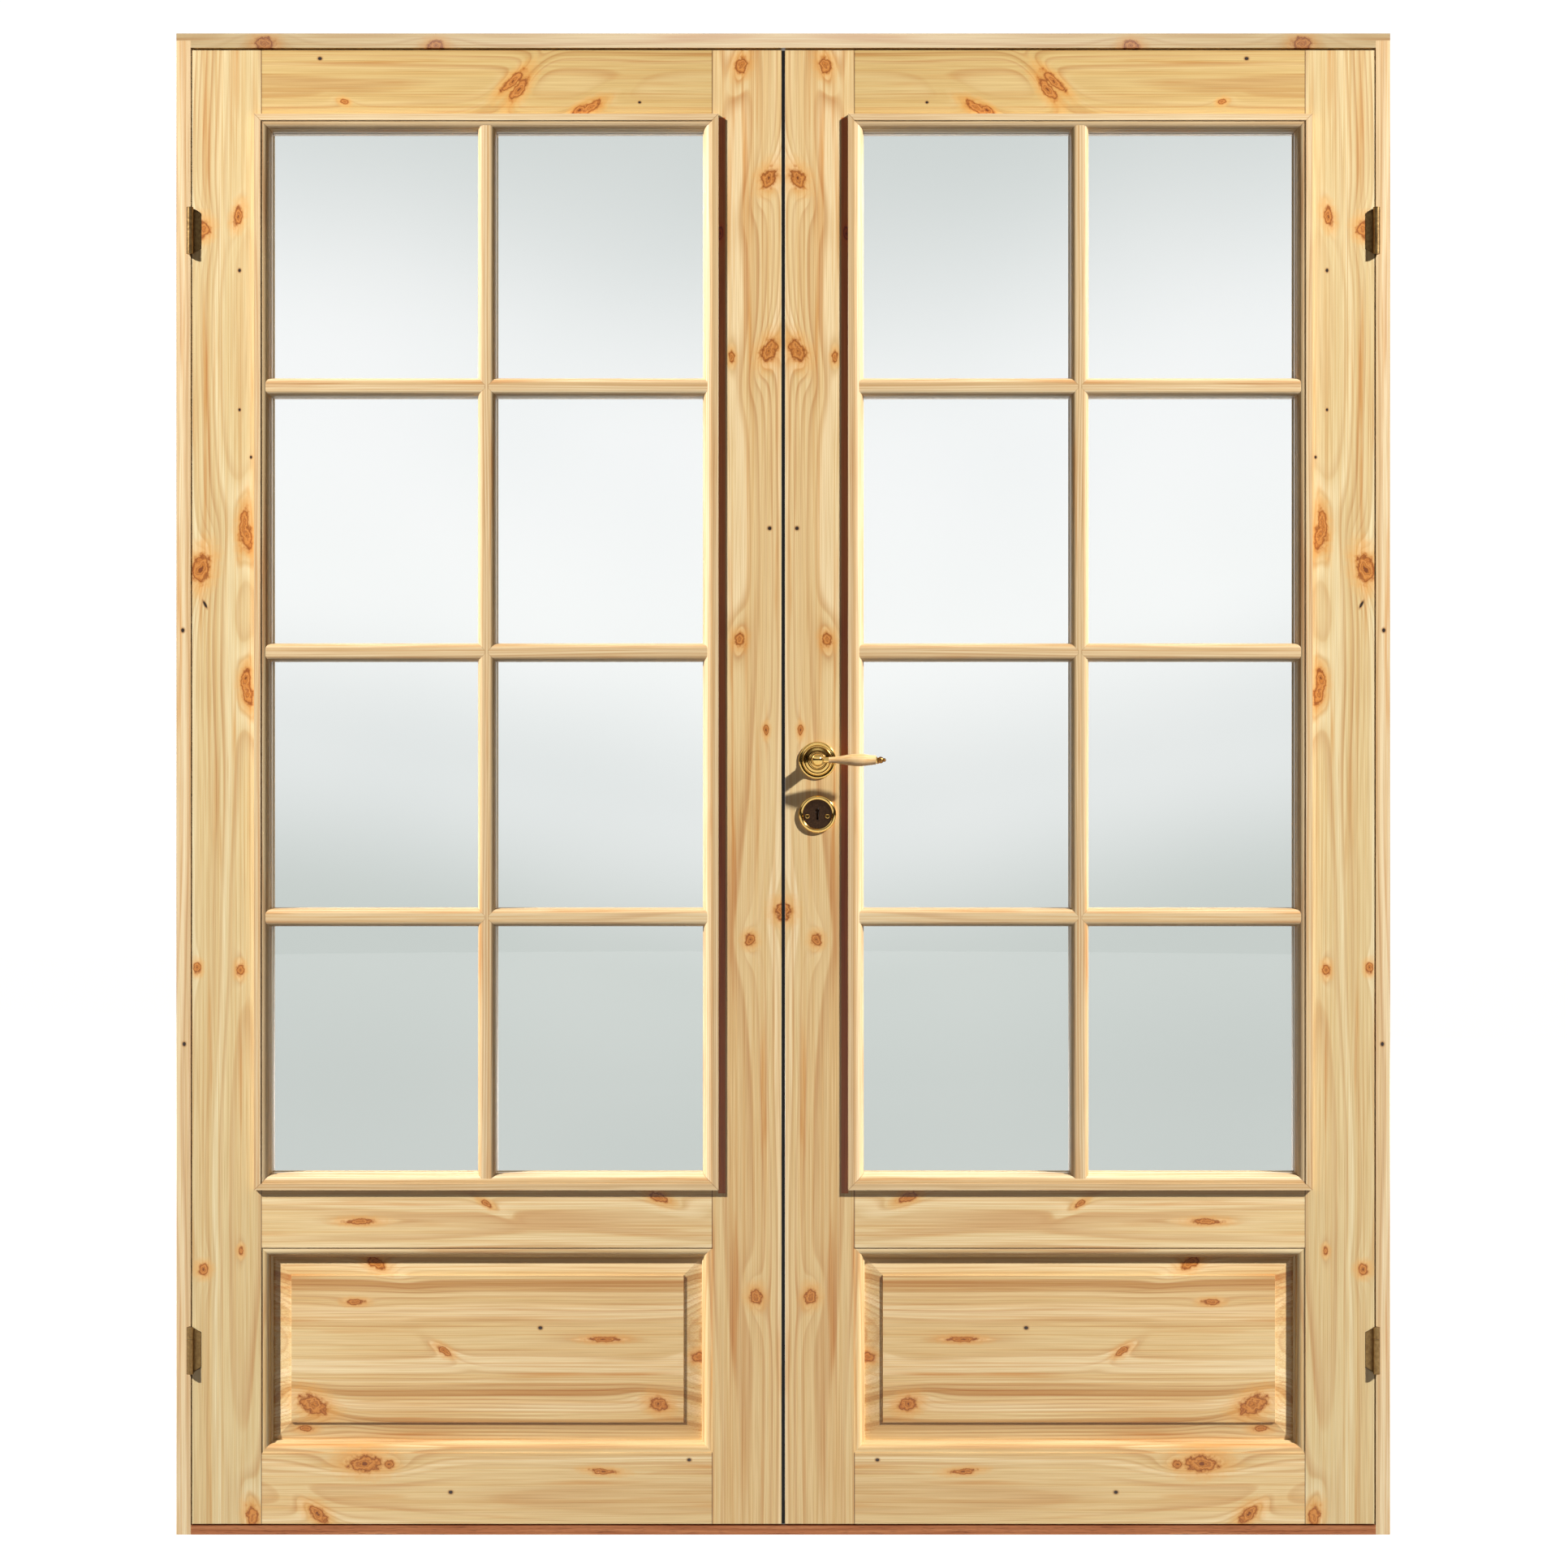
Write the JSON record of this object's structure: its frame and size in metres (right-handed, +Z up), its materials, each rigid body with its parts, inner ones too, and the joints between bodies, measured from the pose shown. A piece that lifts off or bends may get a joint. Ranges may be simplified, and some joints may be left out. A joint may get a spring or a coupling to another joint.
{
  "type": "french doors",
  "caption": "Pair of glazed pine doors with glazing bars over raised panels, hinged in their own wooden frame, with lever handle and lock.",
  "frame": {"origin": "middle of the underside of the threshold, halfway through the depth of the frame", "axes": "+Z up, +X to the right as seen from the front, front faces -Y"},
  "size_m": [1.69, 0.15, 2.09],
  "materials": {
    "pine": "satin clear-coated knotty pine",
    "pale_pine": "satin clear-coated pine, paler",
    "hardwood": "oiled reddish hardwood",
    "turned_wood": "turned, satin lacquered",
    "clear_glass": "clear float glass",
    "polished_brass": "polished",
    "plated_steel": "yellow passivated zinc",
    "zinc_steel": "bright zinc plated",
    "black_rubber": "matte"
  },
  "bodies": {
    "frame": {"jamb_left": "pale_pine", "jamb_right": "pale_pine", "frame_head": "pale_pine", "threshold": "hardwood", "jamb_stop_left": "pale_pine", "jamb_stop_right": "pale_pine", "head_stop": "pale_pine", "threshold_stop": "hardwood", "frame_screws": "zinc_steel", "frame_seal": "black_rubber", "head_keep": "zinc_steel", "sill_keep": "zinc_steel", "jamb_hinge_left_upper": "plated_steel", "jamb_hinge_left_lower": "plated_steel", "jamb_hinge_right_upper": "plated_steel", "jamb_hinge_right_lower": "plated_steel"},
    "left_leaf": {"left_hinge_stile": "pine", "left_meeting_stile": "pine", "left_top_rail": "pine", "left_mid_rail": "pine", "left_bottom_rail": "pine", "left_panel": "pine", "left_glass": "clear_glass", "left_front_beads": "pine", "left_front_bars": "pine", "left_back_beads": "pine", "left_back_bars": "pine", "left_dowels": "pine", "left_upper_hinge": "plated_steel", "left_lower_hinge": "plated_steel", "left_screws": "zinc_steel", "meeting_seal": "black_rubber", "strike_plate": "zinc_steel", "flush_bolt_plates": "polished_brass"},
    "upper_bolt": {"upper_flush_bolt": "polished_brass"},
    "lower_bolt": {"lower_flush_bolt": "polished_brass"},
    "right_leaf": {"right_hinge_stile": "pine", "right_meeting_stile": "pine", "right_top_rail": "pine", "right_mid_rail": "pine", "right_bottom_rail": "pine", "right_panel": "pine", "right_glass": "clear_glass", "right_front_beads": "pine", "right_front_bars": "pine", "right_back_beads": "pine", "right_back_bars": "pine", "right_dowels": "pine", "right_upper_hinge": "plated_steel", "right_lower_hinge": "plated_steel", "right_screws": "zinc_steel", "lock_case": "zinc_steel", "front_rose": "polished_brass", "back_rose": "polished_brass", "front_escutcheon": "polished_brass", "back_escutcheon": "polished_brass", "escutcheon_screws": "polished_brass"},
    "handle": {"spindle": "zinc_steel", "front_lever": "polished_brass", "back_lever": "polished_brass", "front_grip": "turned_wood", "back_grip": "turned_wood"},
    "latch": {"latch_bolt": "zinc_steel"},
    "dead_lock": {"dead_bolt": "zinc_steel"}
  },
  "joints": [
    {"name": "left_leaf_swing", "type": "hinge", "parent": "frame", "child": "left_leaf", "pos_m": [-0.825, -0.051, 1], "axis": [0, 0, -1], "range_deg": [0, 170]},
    {"name": "right_leaf_swing", "type": "hinge", "parent": "frame", "child": "right_leaf", "pos_m": [0.825, -0.051, 1], "axis": [0, 0, 1], "range_deg": [0, 170]},
    {"name": "handle_turn", "type": "hinge", "parent": "right_leaf", "child": "handle", "pos_m": [0.0475, -0.026, 1.078], "axis": [0, 1, 0], "range_deg": [0, 45], "stiffness_Nm_per_rad": 1.2, "springref_deg": -14.32},
    {"name": "latch_draw", "type": "slide", "parent": "right_leaf", "child": "latch", "axis": [1, 0, 0], "range_m": [0, 0.012]},
    {"name": "dead_bolt_throw", "type": "slide", "parent": "right_leaf", "child": "dead_lock", "axis": [-1, 0, 0], "range_m": [0, 0.014]},
    {"name": "upper_bolt_throw", "type": "slide", "parent": "left_leaf", "child": "upper_bolt", "axis": [0, 0, 1], "range_m": [0, 0.014]},
    {"name": "lower_bolt_throw", "type": "slide", "parent": "left_leaf", "child": "lower_bolt", "axis": [0, 0, -1], "range_m": [0, 0.011]}
  ],
  "couplings": [
    {"joint": "latch_draw", "follows": "handle_turn", "m_per_rad": 0.01527}
  ]
}
